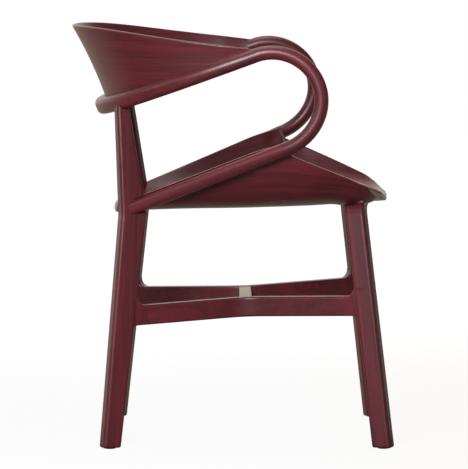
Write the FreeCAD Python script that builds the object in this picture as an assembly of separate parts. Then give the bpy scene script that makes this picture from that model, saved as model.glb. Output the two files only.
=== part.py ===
import FreeCAD, Part
import math
import os
from FreeCAD import Vector

# Dining armchair: dished seat shell and wrap-round back shell carried by bent-wood rails.
# Millimetres, +Z up, the chair faces -Y, X is its width, the floor is Z = 0.
# "left" is +X, the sitter's left. Every paired piece is built on +X and mirrored.

# Arms and back rail: one slope in side view, joined in front by round loops
rail_slope_angle = 19.75
arm_half_spread = 264.0
arm_start_reach = 44.5
arm_start_height = 717.9
arm_bend_radius = 88.5
arm_bend_reach = 89.8
arm_bulge = 8.0
arm_bulge_shares = (0.0, 0.1, 0.35, 0.7, 0.95, 1.05, 1.0, 0.62, -0.25)
arm_bend_sag = 3.4
arm_bend_slip = 8.0
tube_diameter = 25.5
back_rail_rear = 236.9
back_rail_plan_power = 2.35
back_rail_width = 30.0
back_rail_depth = 31.0
back_rail_power = 2.9
tube_power = 2.0

# Back shell: moulded sheet in a rebate along the back rail
back_shell_thickness = 7.5
back_shell_rebate = 20.0
back_rim_height = 766.0
back_rim_rear = 296.5
back_rim_half_spread = 264.0
back_rim_plan_power = 2.25
back_rim_end_rise = 11.0
back_rim_fullness = 1.1
back_shell_flare = 4.3
back_shell_reach_share = 0.985

# Side rails: straight, from the loops down to the rear legs
side_rail_end_half_spread = 173.8
side_rail_end_reach = 163.0
side_rail_end_height = 442.5
side_rail_width = 24.0
side_rail_depth = 25.0
side_rail_power = 2.6
side_rail_shaping = 90.0
side_rail_housing_depth = 8.0

# Seat shell: the tables run evenly from its rear edge to its front lip
seat_thickness = 10.0
seat_height = 454.3
seat_front_reach = 290.5
seat_rear_reach = 217.5
seat_dip = 21.0
seat_dip_shares = (1.0, 0.864, 0.773, 0.705, 0.65, 0.55, 0.43, 0.28, 0.12, 0.0)
seat_edge_angles = (25.0, 42.0, 52.0, 60.0, 65.0, 69.0, 70.0, 68.0, 63.0, 45.0)
seat_wing_spread_shares = (0.947, 0.963, 0.88, 0.757, 0.55)
seat_wing_rise_shares = (1.0, 0.888, 0.69, 0.43, 0.16)
seat_flat_share = 0.55
seat_nose_radius = 28.0
seat_bow_radius = 1400.0
seat_edge_inset = 11.5
seat_edge_width = 10.5
seat_edge_rise = 2.8
seat_edge_least_lift = 4.0
seat_wing_lap = 4.4
seat_wing_angle = 22.9
seat_margin = 22.0

# Legs
foot_half_spread = 215.0
foot_edge_radius = 4.0
front_foot_reach = 277.5
rear_foot_reach = 221.0
knee_height = 424.0
leg_knee_half_spread = 162.0
front_leg_knee_reach = 229.0
rear_leg_knee_reach = 180.5
rear_leg_top_height = 608.5
rear_leg_top_half_spread = 156.0
rear_leg_top_reach = 198.6
leg_thickness = 27.0
rear_leg_top_thickness = 24.0
front_leg_width = 36.5
rear_leg_foot_width = 35.0
rear_leg_knee_width = 49.0
rear_leg_top_width = 25.5
rear_leg_knee_blend = 12.0
leg_edge_radius = 6.0
front_leg_flare = 6.0
front_leg_flare_height = 20.0
front_leg_flare_top = 446.0

# Stretchers and cross bar
stretcher_depth = 36.2
stretcher_thickness = 22.0
stretcher_edge_radius = 3.5
stretcher_bend_half_spread = 100.0
stretcher_bend_reach = 27.4
stretcher_bend_height = 248.2
stretcher_bend_radius = 90.0
stretcher_slope_angle = 2.48
nub_top_radius = 15.0
nub_bottom_radius = 8.5
nub_run = 2.5
cross_bar_width = 23.0
cross_bar_depth = 24.0
cross_bar_edge_radius = 3.0
cross_bar_drop = 1.5
cross_bar_flare = 1.5
cross_bar_flare_length = 4.0
cross_bar_housing = 1.5

# Joinery
glue_gap = 0.2
dowel_gap = 0.1
notch_gap = 0.3
arm_dowel_diameter = 8.0
arm_dowel_length = 50.0
leg_dowel_diameter = 8.0
leg_dowel_spacing = 13.0
leg_dowel_length = 42.0
leg_top_dowel_diameter = 7.0
leg_top_dowel_spacing = 12.0
rear_leg_dowel_rise = 14.0
front_leg_dowel_rise = 6.5
side_dowel_diameter = 8.0
side_dowel_length = 46.0
side_dowel_in_rail = 26.0
seat_dowel_diameter = 5.0
seat_dowel_length = 20.0
seat_dowel_in_leg = 9.0
seat_dowel_shift = 9.0
tenon_thickness = 8.0
tenon_depth = 22.0
tenon_length = 40.0
tenon_edge_radius = 3.0
stud_diameter = 8.0
stud_length = 30.0
stud_in_stretcher = 14.0

# Foot glides
glide_diameter = 20.0
glide_height = 1.5
glide_pin_diameter = 6.0
glide_pin_length = 14.0

overrun = 60.0

# Counts
oval_points = 16
path_samples = 400
rail_stations = 17
bend_stations = 9
seat_stations = 15
profile_points = 17

UP = Vector(0, 0, 1)
LEFT = Vector(1, 0, 0)
REAR = Vector(0, 1, 0)
ORIGIN = Vector(0, 0, 0)


def unit(vector):
    result = Vector(vector)
    result.normalize()
    return result


def mix(start, end, share):
    return start + (end - start) * share


def signed_power(value, power):
    return math.copysign(abs(value) ** power, value)


def smooth_value(shares, place):
    """Smooth curve through an evenly spaced table, place 0 at its start and 1 at its end."""
    spans = len(shares) - 1
    index = min(max(int(place * spans), 0), spans - 1)
    local = place * spans - index
    before = shares[max(index - 1, 0)]
    start = shares[index]
    end = shares[index + 1]
    after = shares[min(index + 2, spans)]
    leave = (end - before) / (2 if index > 0 else 1)
    arrive = (after - start) / (2 if index + 2 <= spans else 1)
    first = start + local * leave
    last = end - (1 - local) * arrive
    return mix(first, last, local * local * (3 - 2 * local))


# Sections and solids

def oval_wire(centre, side, up, width, depth, power):
    """Closed superellipse section, round at power 2 and squarer above it."""
    points = []
    for index in range(oval_points):
        angle = 2 * math.pi * index / oval_points
        across = width / 2 * signed_power(math.cos(angle), 2 / power)
        along = depth / 2 * signed_power(math.sin(angle), 2 / power)
        points.append(centre + side * across + up * along)
    curve = Part.BSplineCurve()
    curve.interpolate(Points=points, PeriodicFlag=True)
    return Part.Wire([curve.toShape()])


def line_edge(start, end):
    return Part.LineSegment(start, end).toShape()


def arc_edge(start, middle, end):
    return Part.Arc(start, middle, end).toShape()


def spline_edge(points):
    curve = Part.BSplineCurve()
    curve.interpolate(points)
    return curve.toShape()


def rounded_wire(centre, side, up, width, depth, radius):
    """Rectangle with round corners, as four arcs and four lines."""
    diagonal = radius * math.sqrt(0.5)
    starts = []
    middles = []
    ends = []
    for turn, (right, top) in enumerate(((1, 1), (-1, 1), (-1, -1), (1, -1))):
        core = centre + side * (right * (width / 2 - radius)) + up * (top * (depth / 2 - radius))
        on_side = core + side * (right * radius)
        on_top = core + up * (top * radius)
        starts.append(on_side if turn % 2 == 0 else on_top)
        ends.append(on_top if turn % 2 == 0 else on_side)
        middles.append(core + side * (right * diagonal) + up * (top * diagonal))
    edges = []
    for turn in range(len(starts)):
        edges.append(arc_edge(starts[turn], middles[turn], ends[turn]))
        edges.append(line_edge(ends[turn], starts[(turn + 1) % len(starts)]))
    return Part.Wire(edges)


def loft(wires, ruled=False):
    return Part.makeLoft(wires, True, ruled)


def prism(points, direction):
    """Solid swept from a closed polygon along a direction."""
    return Part.Face(Part.makePolygon(points + [points[0]])).extrude(direction)


def rod(start, axis, diameter, length, gap=0):
    """Round pin from a start point along an axis, or with a gap the hole it sits in."""
    return Part.makeCylinder(diameter / 2 + gap, length + 2 * gap, start - axis * gap, axis)


def edge_middle(edge):
    return edge.valueAt((edge.FirstParameter + edge.LastParameter) / 2)


def block_behind(point, normal):
    """Large block on the far side of a plane."""
    side = unit(normal.cross(UP))
    up = side.cross(normal)
    corners = [point + side * (overrun * right) + up * (overrun * top)
               for right, top in ((1, 1), (-1, 1), (-1, -1), (1, -1))]
    return prism(corners, normal * (-2 * overrun))


def mirrored(shape):
    return shape.mirror(ORIGIN, LEFT)


# Back rail: its path lies in a plane that slopes down to the rear

rail_angle = math.radians(rail_slope_angle)
rail_back = Vector(0, math.cos(rail_angle), -math.sin(rail_angle))
rail_up = Vector(0, math.sin(rail_angle), math.cos(rail_angle))
rail_middle = Vector(0, -arm_start_reach, arm_start_height)
back_rail_run = (back_rail_rear + arm_start_reach) / math.cos(rail_angle)


def back_rail_point(turn):
    """Point of the back rail's centre line, turn 0 at the rear and 1 at the left arm."""
    angle = turn * math.pi / 2
    power = 2 / back_rail_plan_power
    across = arm_half_spread * signed_power(math.sin(angle), power)
    along = back_rail_run * signed_power(max(math.cos(angle), 0), power)
    return rail_middle + LEFT * across + rail_back * along


def back_rail_outward(turn):
    """Outward normal of the back rail's path, in its own plane."""
    angle = turn * math.pi / 2
    power = 2 - 2 / back_rail_plan_power
    across = signed_power(math.sin(angle), power) * back_rail_run
    along = signed_power(max(math.cos(angle), 0), power) * arm_half_spread
    return unit(LEFT * across + rail_back * along)


def even_turns(reach):
    """Turns from arm to arm that divide the rail's path into equal lengths."""
    turns = [reach * (2 * index / path_samples - 1) for index in range(path_samples + 1)]
    lengths = [0]
    for first, second in zip(turns, turns[1:]):
        lengths.append(lengths[-1] + (back_rail_point(second) - back_rail_point(first)).Length)
    chosen = []
    for station in range(rail_stations):
        wanted = lengths[-1] * station / (rail_stations - 1)
        nearest = min(range(path_samples + 1), key=lambda index: abs(lengths[index] - wanted))
        chosen.append(turns[nearest])
    return chosen


def back_rail_size(turn):
    """Width, depth and squareness of the back rail, round where it meets the arms."""
    share = abs(turn) ** 1.5
    width = mix(back_rail_width, tube_diameter, share)
    depth = mix(back_rail_depth, tube_diameter, share)
    return width, depth, mix(back_rail_power, tube_power, share)


def back_rail_blank(grow=0):
    wires = []
    for turn in even_turns(1):
        width, depth, power = back_rail_size(turn)
        wires.append(oval_wire(back_rail_point(turn), back_rail_outward(turn), rail_up,
                               width + 2 * grow, depth + 2 * grow, power))
    return loft(wires)


# Back shell: its inner face is flush with the rail's

def back_shell_foot(turn):
    """Middle of the sheet at the height of the rail's centre line."""
    inset = (back_rail_size(turn)[0] - back_shell_thickness) / 2
    return back_rail_point(turn) - back_rail_outward(turn) * inset


def back_shell_rim(turn):
    """Middle of the sheet at its top edge."""
    angle = turn * math.pi / 2
    power = 2 / back_rim_plan_power
    inset = back_shell_thickness / 2
    across = (back_rim_half_spread - inset) * signed_power(math.sin(angle), power)
    share = signed_power(max(math.cos(angle), 0), power)
    along = (back_rim_rear + arm_start_reach - inset) * share
    height_share = share + back_rim_fullness * share ** 4 * (1 - share)
    height = mix(arm_start_height + back_rim_end_rise, back_rim_height, height_share)
    return Vector(across, along - arm_start_reach, height)


back_shell_rise = (back_shell_rim(0) - back_shell_foot(0)).Length


def back_shell_section(turn, cutter):
    """Thin upright profile of the shell, or the wider one that cuts its rebate in the rail."""
    foot = back_shell_foot(turn)
    rise = back_shell_rim(turn) - foot
    up = unit(rise)
    outward = back_rail_outward(turn)
    normal = unit(outward - up * outward.dot(up))
    gap = glue_gap if cutter else 0
    depth = back_rail_size(turn)[1]
    below = back_shell_rebate * depth / back_rail_depth - depth / 2 + gap
    outer = normal * (back_shell_thickness / 2 + gap)
    inner = normal * (back_shell_thickness / 2 + (overrun if cutter else 0))
    bow = normal * (back_shell_flare * rise.Length / back_shell_rise)
    low = foot - up * below
    middle = foot + rise * 0.5 - bow
    top = foot + rise + up * (overrun if cutter else 0)
    edges = [spline_edge([low + outer, middle + outer, top + outer]),
             line_edge(top + outer, top - inner),
             spline_edge([top - inner, middle - inner, low - inner]),
             line_edge(low - inner, low + outer)]
    return Part.Wire(edges)


def back_shell_loft(cutter=False):
    return loft([back_shell_section(turn, cutter) for turn in even_turns(back_shell_reach_share)])


# Arm bends: near half circles in side view that swell outwards

bend_centre = rail_middle - rail_up * arm_bend_radius


def bend_point(place):
    """Point of the left bend's centre line, place 0 at the back rail and 1 at the side rail."""
    angle = place * math.pi
    lower_share = ((1 - math.cos(angle)) / 2) ** 2
    swell = arm_bulge * smooth_value(arm_bulge_shares, place)
    rise = rail_up * (arm_bend_radius * math.cos(angle) - arm_bend_sag * math.sin(angle) ** 2)
    back = rail_back * (arm_bend_slip * lower_share - arm_bend_reach * math.sin(angle))
    return bend_centre + rise + back + LEFT * (arm_half_spread + swell)


side_rail_front = bend_point(1)
side_rail_rear = Vector(side_rail_end_half_spread, side_rail_end_reach, side_rail_end_height)
side_rail_axis = unit(side_rail_rear - side_rail_front)


def bend_frame(place):
    """Side and up directions of the bend's section, turned to face the joined rails."""
    if place <= 0:
        along = rail_back * -1
    elif place >= 1:
        along = side_rail_axis
    else:
        step = 0.01
        along = unit(bend_point(place + step) - bend_point(place - step))
    side = unit(LEFT - along * LEFT.dot(along))
    return side, side.cross(along)


def arm_bend_blank():
    wires = []
    for station in range(bend_stations):
        place = station / (bend_stations - 1)
        side, up = bend_frame(place)
        wires.append(oval_wire(bend_point(place), side, up, tube_diameter, tube_diameter, tube_power))
    return loft(wires)


# Side rails

def side_rail_centre(reach):
    """Centre of the side rail, or of its line run on, at a place along Y."""
    share = (reach - side_rail_front.y) / (side_rail_rear.y - side_rail_front.y)
    return side_rail_front + (side_rail_rear - side_rail_front) * share


def side_rail_blank(grow=0):
    """Side rail that turns from round to its own section and runs on past the rear leg's face."""
    side, up = bend_frame(1)
    length = (side_rail_rear - side_rail_front).Length + overrun

    def wire(run, reached):
        return oval_wire(side_rail_front + side_rail_axis * run, side, up,
                         mix(tube_diameter, side_rail_width, reached) + 2 * grow,
                         mix(tube_diameter, side_rail_depth, reached) + 2 * grow,
                         mix(tube_power, side_rail_power, reached))

    wires = [wire(side_rail_shaping * share, share * share * (3 - 2 * share)) for share in (0, 0.35, 0.7, 1)]
    wires += [wire(mix(side_rail_shaping, length, share), 1) for share in (0.33, 0.67, 1)]
    return loft(wires)


# Seat shell: flat middle, its sides curling up to the inner faces of the side rails

side_rail_slope = -side_rail_axis.z / side_rail_axis.y
rail_edge_rise = side_rail_depth / 2 * math.sqrt(1 + side_rail_slope ** 2) + seat_edge_rise
wing_start = side_rail_front - rail_up * (tube_diameter / 2 - seat_wing_lap)
wing_angle = math.radians(seat_wing_angle)


def seat_edge(reach):
    """Upper edge of the seat's top face on the left, before the wings are trimmed."""
    centre = side_rail_centre(max(reach, side_rail_front.y))
    if reach >= side_rail_front.y:
        return centre.x - seat_edge_inset, centre.z + rail_edge_rise
    place = (side_rail_front.y - reach) / (side_rail_front.y + seat_front_reach)
    place = min(place, 1)
    spread = arm_half_spread * smooth_value(seat_wing_spread_shares, place)
    rise = centre.z + rail_edge_rise - seat_height
    return spread, seat_height + rise * smooth_value(seat_wing_rise_shares, place)


def seat_profile(reach):
    """Points and downward normals of the seat's top face, from the middle to past its left edge."""
    place = (seat_rear_reach - reach) / (seat_rear_reach + seat_front_reach)
    place = min(max(place, 0), 1)
    middle = seat_height - seat_dip * smooth_value(seat_dip_shares, place)
    angle = math.radians(smooth_value(seat_edge_angles, place))
    edge_x, edge_z = seat_edge(reach)
    edge_z = max(edge_z, middle + seat_edge_least_lift)
    crease_x = edge_x - (edge_z - middle) / math.tan(angle)
    controls = ((0, middle), (crease_x * seat_flat_share, middle), (crease_x, middle),
                (crease_x, middle), (edge_x, edge_z))
    points = []
    for index in range(profile_points):
        share = index / (profile_points - 1)
        weights = [math.comb(4, power) * share ** power * (1 - share) ** (4 - power) for power in range(5)]
        x = sum(weight * control[0] for weight, control in zip(weights, controls))
        z = sum(weight * control[1] for weight, control in zip(weights, controls))
        points.append(Vector(x, reach, z))
    points.append(points[-1] + Vector(math.cos(angle), 0, math.sin(angle)) * seat_margin)
    normals = []
    for index in range(len(points)):
        along = unit(points[min(index + 1, len(points) - 1)] - points[max(index - 1, 0)])
        normals.append(Vector(along.z, 0, -along.x))
    normals[0] = UP * -1
    return points, normals


def across_chair(points):
    """Half a row of points, from the middle to the left, made whole from right to left."""
    return [Vector(-point.x, point.y, point.z) for point in reversed(points[1:])] + points


def seat_wire(reach, space):
    """Section of the seat's sheet, or of all the space above its underside."""
    points, normals = seat_profile(reach)
    depth = seat_thickness + (glue_gap if space else 0)
    low = across_chair([point + normal * depth for point, normal in zip(points, normals)])
    if space:
        top = [Vector(point.x, point.y, back_rim_height) for point in (low[0], low[-1])]
        upper = line_edge(top[1], top[0])
    else:
        top = across_chair(points)
        upper = spline_edge(list(reversed(top)))
    return Part.Wire([spline_edge(low), line_edge(low[-1], top[-1]), upper, line_edge(top[0], low[0])])


def seat_block(space):
    """Untrimmed seat, or the space above its underside, inside the side rails' rebates."""
    gap = glue_gap if space else 0
    rear = seat_rear_reach + seat_thickness
    front = -seat_front_reach - seat_thickness
    reaches = [mix(rear, front, index / (seat_stations - 1)) for index in range(seat_stations)]
    block = loft([seat_wire(reach, space) for reach in reaches])
    limit = []
    for reach in (rear + overrun, front - overrun):
        x = side_rail_centre(reach).x - seat_edge_inset + seat_edge_width + gap
        limit.append(Vector(x, reach, 0))
    limit += [Vector(-point.x, point.y, 0) for point in reversed(limit)]
    return block.common(prism(limit, UP * (back_rim_height + overrun)))


def seat_side_trim():
    """Everything above and ahead of the seat's outline in side view."""
    rear = seat_rear_reach + overrun
    right = -arm_half_spread - overrun
    high = back_rim_height + overrun

    def place(y, z):
        return Vector(right, y, z)

    joint_top = side_rail_front + rail_up * (tube_diameter / 2) + rail_back * notch_gap
    far = place(rear, side_rail_centre(rear).z + rail_edge_rise)
    joint = place(joint_top.y, side_rail_centre(joint_top.y).z + rail_edge_rise)
    start = place(wing_start.y, wing_start.z) + rail_back * notch_gap
    nose_start_y = -seat_front_reach + seat_nose_radius * (1 - math.sin(wing_angle))
    nose_start = place(nose_start_y, start.z - (start.y - nose_start_y) * math.tan(wing_angle))
    core = nose_start + Vector(0, math.sin(wing_angle), -math.cos(wing_angle)) * seat_nose_radius
    half = (math.pi / 2 + wing_angle) / 2
    nose_middle = core + Vector(0, -math.sin(half), math.cos(half)) * seat_nose_radius
    nose_end = core - REAR * seat_nose_radius
    corners = [nose_end, nose_end - UP * overrun, nose_end - UP * overrun - REAR * overrun,
               place(nose_end.y - overrun, high), place(rear, high), far, joint, start, nose_start]
    edges = [line_edge(first, second) for first, second in zip(corners, corners[1:])]
    edges.append(arc_edge(nose_start, nose_middle, nose_end))
    return Part.Face(Part.Wire(edges)).extrude(LEFT * (-2 * right))


def seat_end_trims():
    """Everything behind the bowed rear edge and ahead of the bowed front lip."""
    trims = []
    for reach, turn in ((seat_rear_reach, 1), (seat_front_reach, -1)):
        block = Part.makeBox(2 * arm_half_spread, reach + overrun, back_rim_height,
                             Vector(-arm_half_spread, 0 if turn > 0 else -reach - overrun, 0))
        middle = Vector(0, turn * (reach - seat_bow_radius), 0)
        trims.append(block.cut(Part.makeCylinder(seat_bow_radius, back_rim_height, middle, UP)))
    return trims


# Legs: level sections, turned to face along the stretchers

stretcher_angle = math.radians(stretcher_slope_angle)
stretcher_up = Vector(0, math.sin(stretcher_angle), math.cos(stretcher_angle))
stretcher_bend = Vector(stretcher_bend_half_spread, -stretcher_bend_reach, stretcher_bend_height)


class Leg:
    """Lines of one left leg: its axis below the knee and the direction its faces are turned to."""

    def __init__(self, foot_reach, knee_reach, foot_width, knee_width):
        self.foot = Vector(foot_half_spread, foot_reach, 0)
        self.knee = Vector(leg_knee_half_spread, knee_reach, knee_height)
        self.foot_width = foot_width
        self.knee_width = knee_width
        self.axis = unit(self.knee - self.foot)
        shin = self.knee - self.foot
        self.root = self.foot + shin * ((stretcher_bend - self.foot).dot(stretcher_up) / shin.dot(stretcher_up))
        self.along = unit(stretcher_bend - self.root)
        self.side = unit(Vector(self.along.x, self.along.y, 0))
        outward = self.side.cross(UP)
        self.outward = outward if outward.x > 0 else outward * -1

    def centre(self, height):
        return mix(self.foot, self.knee, height / knee_height)

    def width(self, height):
        return mix(self.foot_width, self.knee_width, height / knee_height)


front_leg = Leg(-front_foot_reach, -front_leg_knee_reach, front_leg_width, front_leg_width)
rear_leg = Leg(rear_foot_reach, rear_leg_knee_reach, rear_leg_foot_width, rear_leg_knee_width)
rear_leg_top = Vector(rear_leg_top_half_spread, rear_leg_top_reach, rear_leg_top_height)


def soft_foot(post):
    """Rounds the edges round a post's level lower end."""
    low = [edge for edge in post.Edges if edge.BoundBox.ZMax < glide_height + dowel_gap]
    return post.makeFillet(foot_edge_radius, low)


def front_leg_post():
    """Front post with a flare under the seat; the seat cuts its top off later."""

    def wire(height, share):
        return rounded_wire(front_leg.centre(height), front_leg.side, front_leg.outward,
                            front_leg_width + 2 * front_leg_flare * share,
                            leg_thickness + 2 * front_leg_flare * share, leg_edge_radius)

    base = front_leg_flare_top - front_leg_flare_height
    straight = loft([wire(glide_height, 0), wire(base, 0)], True)
    wires = []
    for share in (0, 0.4, 0.7, 0.9, 1):
        wires.append(wire(base + front_leg_flare_height * share, 1 - math.sqrt(1 - share ** 2)))
    wires.append(wire(front_leg_flare_top + overrun / 2, 1))
    return soft_foot(straight).fuse(loft(wires, True)).removeSplitter()


def rear_leg_post(grow=0):
    """Rear post from the floor to inside the back rail, widest at the knee."""
    rise = rear_leg_top_height - knee_height
    blend = rear_leg_knee_blend

    def wire(height):
        below = rear_leg.centre(height)
        share = (height - knee_height) / rise
        above = mix(rear_leg.knee, rear_leg_top, share)
        low_width = rear_leg.width(height)
        high_width = mix(rear_leg_knee_width, rear_leg_top_width, share)
        high_thickness = mix(leg_thickness, rear_leg_top_thickness, share)
        turn = min(max((height - knee_height + blend) / (2 * blend), 0), 1)
        turn = turn * turn * (3 - 2 * turn)
        return rounded_wire(mix(below, above, turn), rear_leg.side, rear_leg.outward,
                            mix(low_width, high_width, turn) + 2 * grow,
                            mix(leg_thickness, high_thickness, turn) + 2 * grow, leg_edge_radius + grow)

    lower = loft([wire(glide_height), wire(knee_height - blend)], True)
    knee_heights = [knee_height + blend * share for share in (-1, -0.6, -0.3, 0, 0.3, 0.6, 1)]
    knee = loft([wire(height) for height in knee_heights], True)
    upper = loft([wire(knee_height + blend), wire(rear_leg_top_height + back_rail_depth / 2)], True)
    if grow == 0:
        lower = soft_foot(lower)
    return lower.fuse([knee, upper]).removeSplitter()


def nub(leg):
    """Short arm of a leg that takes the stretcher, filleted above and below; with its joint's place."""
    lean = leg.axis.dot(leg.along) / leg.axis.dot(stretcher_up)
    lean += (leg.knee_width - leg.foot_width) / knee_height / 2
    steep = math.sqrt(1 + lean * lean)
    half = stretcher_depth / 2
    edge = leg.width(leg.root.z) / 2

    def place(along, up):
        return leg.root + leg.along * along + stretcher_up * up

    def fillet(radius, sign):
        high = sign * (half + radius)
        far = edge + lean * high + radius * steep
        core = place(far, high)
        to_nub = stretcher_up * -sign
        to_leg = (stretcher_up * lean - leg.along) * (1 / steep)
        points = [core + way * radius for way in (to_nub, unit(to_nub + to_leg), to_leg)]
        return points, far

    top, top_far = fillet(nub_top_radius, 1)
    low, low_far = fillet(nub_bottom_radius, -1)
    end = max(top_far, low_far) + nub_run
    inner_top = top[2] - leg.along * edge
    inner_low = low[2] - leg.along * edge
    edges = [line_edge(inner_top, top[2]), arc_edge(top[2], top[1], top[0]),
             line_edge(top[0], place(end, half)), line_edge(place(end, half), place(end, -half)),
             line_edge(place(end, -half), low[0]), arc_edge(low[0], low[1], low[2]),
             line_edge(low[2], inner_low), line_edge(inner_low, inner_top)]
    across = leg.along.cross(stretcher_up)
    profile = Part.Face(Part.Wire(edges))
    profile.translate(across * (-stretcher_thickness / 2))
    block = profile.extrude(across * stretcher_thickness)
    shown = []
    for long_edge in block.Edges:
        middle = edge_middle(long_edge) - leg.root
        level = abs(abs(middle.dot(stretcher_up)) - half) < glue_gap
        on_side = abs(abs(middle.dot(across)) - stretcher_thickness / 2) < glue_gap
        if on_side and (level or "Circle" in long_edge.Curve.TypeId):
            shown.append(long_edge)
    return block.makeFillet(stretcher_edge_radius, shown), end


# Stretchers: one V-shaped piece a side

def stretcher_blank(front_end, rear_end):
    """Stretcher, the centres of its two joint faces and the middle of its bend's inner face."""
    front_face = front_leg.root + front_leg.along * front_end
    rear_face = rear_leg.root + rear_leg.along * rear_end
    to_front = unit(front_face - stretcher_bend)
    to_rear = unit(rear_face - stretcher_bend)
    half_angle = math.acos(to_front.dot(to_rear)) / 2
    run = stretcher_bend_radius / math.tan(half_angle)
    middle_way = unit(to_front + to_rear)
    core = stretcher_bend + middle_way * (stretcher_bend_radius / math.sin(half_angle))
    front_out = unit(core - (stretcher_bend + to_front * run))
    rear_out = unit(core - (stretcher_bend + to_rear * run))
    half = stretcher_thickness / 2

    def side_line(offset):
        """Four points and the bend's middle, offset towards the bend's hollow side."""
        radius = stretcher_bend_radius - offset
        return [front_face + front_out * offset, core - front_out * radius, core - middle_way * radius,
                core - rear_out * radius, rear_face + rear_out * offset]

    hollow = side_line(half)
    full = side_line(-half)
    edges = [line_edge(hollow[0], hollow[1]), arc_edge(hollow[1], hollow[2], hollow[3]),
             line_edge(hollow[3], hollow[4]), line_edge(hollow[4], full[4]), line_edge(full[4], full[3]),
             arc_edge(full[3], full[2], full[1]), line_edge(full[1], full[0]), line_edge(full[0], hollow[0])]
    face = Part.Face(Part.Wire(edges))
    face.translate(stretcher_up * (-stretcher_depth / 2))
    block = face.extrude(stretcher_up * stretcher_depth)
    long_edges = []
    for edge in block.Edges:
        middle = edge_middle(edge)
        level = abs(abs((middle - stretcher_bend).dot(stretcher_up)) - stretcher_depth / 2) < glue_gap
        at_front = abs((middle - front_face).dot(front_leg.along)) < glue_gap
        at_rear = abs((middle - rear_face).dot(rear_leg.along)) < glue_gap
        if level and not at_front and not at_rear:
            long_edges.append(edge)
    return block.makeFillet(stretcher_edge_radius, long_edges), front_face, rear_face, full[2]


def tenon(leg, face, gap=0):
    """Loose tenon centred on a joint face, or with a gap its mortises."""
    across = leg.along.cross(stretcher_up)
    start = face - leg.along * (tenon_length / 2 + gap)
    wire = rounded_wire(start, across, stretcher_up, tenon_thickness + 2 * gap, tenon_depth + 2 * gap,
                        tenon_edge_radius + gap)
    return Part.Face(wire).extrude(leg.along * (tenon_length + 2 * gap))


# Cross bar: its ends lie in shallow housings in the stretchers

def cross_bar_blank(bend_face):
    centre = stretcher_up * (stretcher_depth / 2 - cross_bar_drop - cross_bar_depth / 2)
    centre += Vector(0, stretcher_bend.y, stretcher_bend.z)
    forward = unit(stretcher_up.cross(LEFT))
    reach = bend_face.x + cross_bar_housing
    flare_start = bend_face.x - cross_bar_flare_length
    wires = []
    for across, flare in ((-reach, 1), (-bend_face.x, 1), (-flare_start, 0),
                          (flare_start, 0), (bend_face.x, 1), (reach, 1)):
        wires.append(rounded_wire(centre + LEFT * across, forward, stretcher_up,
                                  cross_bar_width + 2 * cross_bar_flare * flare,
                                  cross_bar_depth + 2 * cross_bar_flare * flare, cross_bar_edge_radius))
    return loft(wires, True), centre


# Joinery: each pin is a function of its gap, so that its hole follows it

def arm_dowel(joint, axis, gap=0):
    return rod(joint - axis * (arm_dowel_length / 2), axis, arm_dowel_diameter, arm_dowel_length, gap)


def rear_leg_top_dowels(gap=0):
    axis = unit(rear_leg_top - rear_leg.knee)
    pins = []
    for turn in (-1, 1):
        seat = rear_leg_top + rear_leg.outward * (turn * leg_top_dowel_spacing / 2)
        start = seat - axis * (leg_dowel_length - rear_leg_dowel_rise)
        pins.append(rod(start, axis, leg_top_dowel_diameter, leg_dowel_length, gap))
    return pins


def seat_place(x, reach):
    """Point of the seat's top face over a place, and the sheet's normal and direction there."""
    points, normals = seat_profile(reach)
    index = min(range(1, len(points)), key=lambda place: abs(points[place].x - x))
    point = points[index]
    normal = normals[index]
    along = Vector(-normal.z, 0, normal.x)
    return point + along * ((x - point.x) / along.x), normal, along


def front_leg_dowels(gap=0):
    top, normal, along = seat_place(leg_knee_half_spread, -front_leg_knee_reach)
    height = (top + normal * seat_thickness).z
    pins = []
    for turn in (-1, 1):
        seat = front_leg.centre(height) + front_leg.side * (turn * leg_dowel_spacing / 2)
        start = seat - front_leg.axis * (leg_dowel_length - front_leg_dowel_rise)
        pins.append(rod(start, front_leg.axis, leg_dowel_diameter, leg_dowel_length, gap))
    return pins


housing_face = rear_leg.centre(side_rail_end_height)
housing_face += rear_leg.outward * (leg_thickness / 2 - side_rail_housing_depth)


def side_dowel(gap=0):
    depth = (housing_face - side_rail_front).dot(rear_leg.outward) / side_rail_axis.dot(rear_leg.outward)
    start = side_rail_front + side_rail_axis * (depth - side_dowel_in_rail)
    return rod(start, side_rail_axis, side_dowel_diameter, side_dowel_length, gap)


def seat_dowel(gap=0):
    """Pin from the seat's notch into the rear leg's inner face, along the sheet."""
    reach = rear_leg_knee_reach - seat_dowel_shift
    inner = rear_leg.knee - rear_leg.outward * (leg_thickness / 2)
    x = inner.x + (inner.y - reach) * rear_leg.outward.y / rear_leg.outward.x
    top, normal, along = seat_place(x, reach)
    middle = top + normal * (seat_thickness / 2)
    start = middle - along * (seat_dowel_length - seat_dowel_in_leg)
    return rod(start, along, seat_dowel_diameter, seat_dowel_length, gap)


def cross_bar_stud(bend_face, centre, gap=0):
    start = Vector(bend_face.x + stud_in_stretcher - stud_length, centre.y, centre.z)
    return rod(start, LEFT, stud_diameter, stud_length, gap)


def glide_pin(leg, gap=0):
    return rod(Vector(leg.foot.x, leg.foot.y, 0), UP, glide_pin_diameter, glide_height + glide_pin_length, gap)


def foot_glide(leg):
    disc = Part.makeCylinder(glide_diameter / 2, glide_height, Vector(leg.foot.x, leg.foot.y, 0), UP)
    return disc.fuse(glide_pin(leg)).removeSplitter()


# Pieces

front_nub, front_end = nub(front_leg)
rear_nub, rear_end = nub(rear_leg)
stretcher, front_face, rear_face, bend_face = stretcher_blank(front_end, rear_end)
cross_bar, bar_centre = cross_bar_blank(bend_face)
seat_space = seat_block(True)
rear_post_room = rear_leg_post(notch_gap)
housing_end = block_behind(housing_face, rear_leg.outward)

pieces = {}
paired = {}

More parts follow.
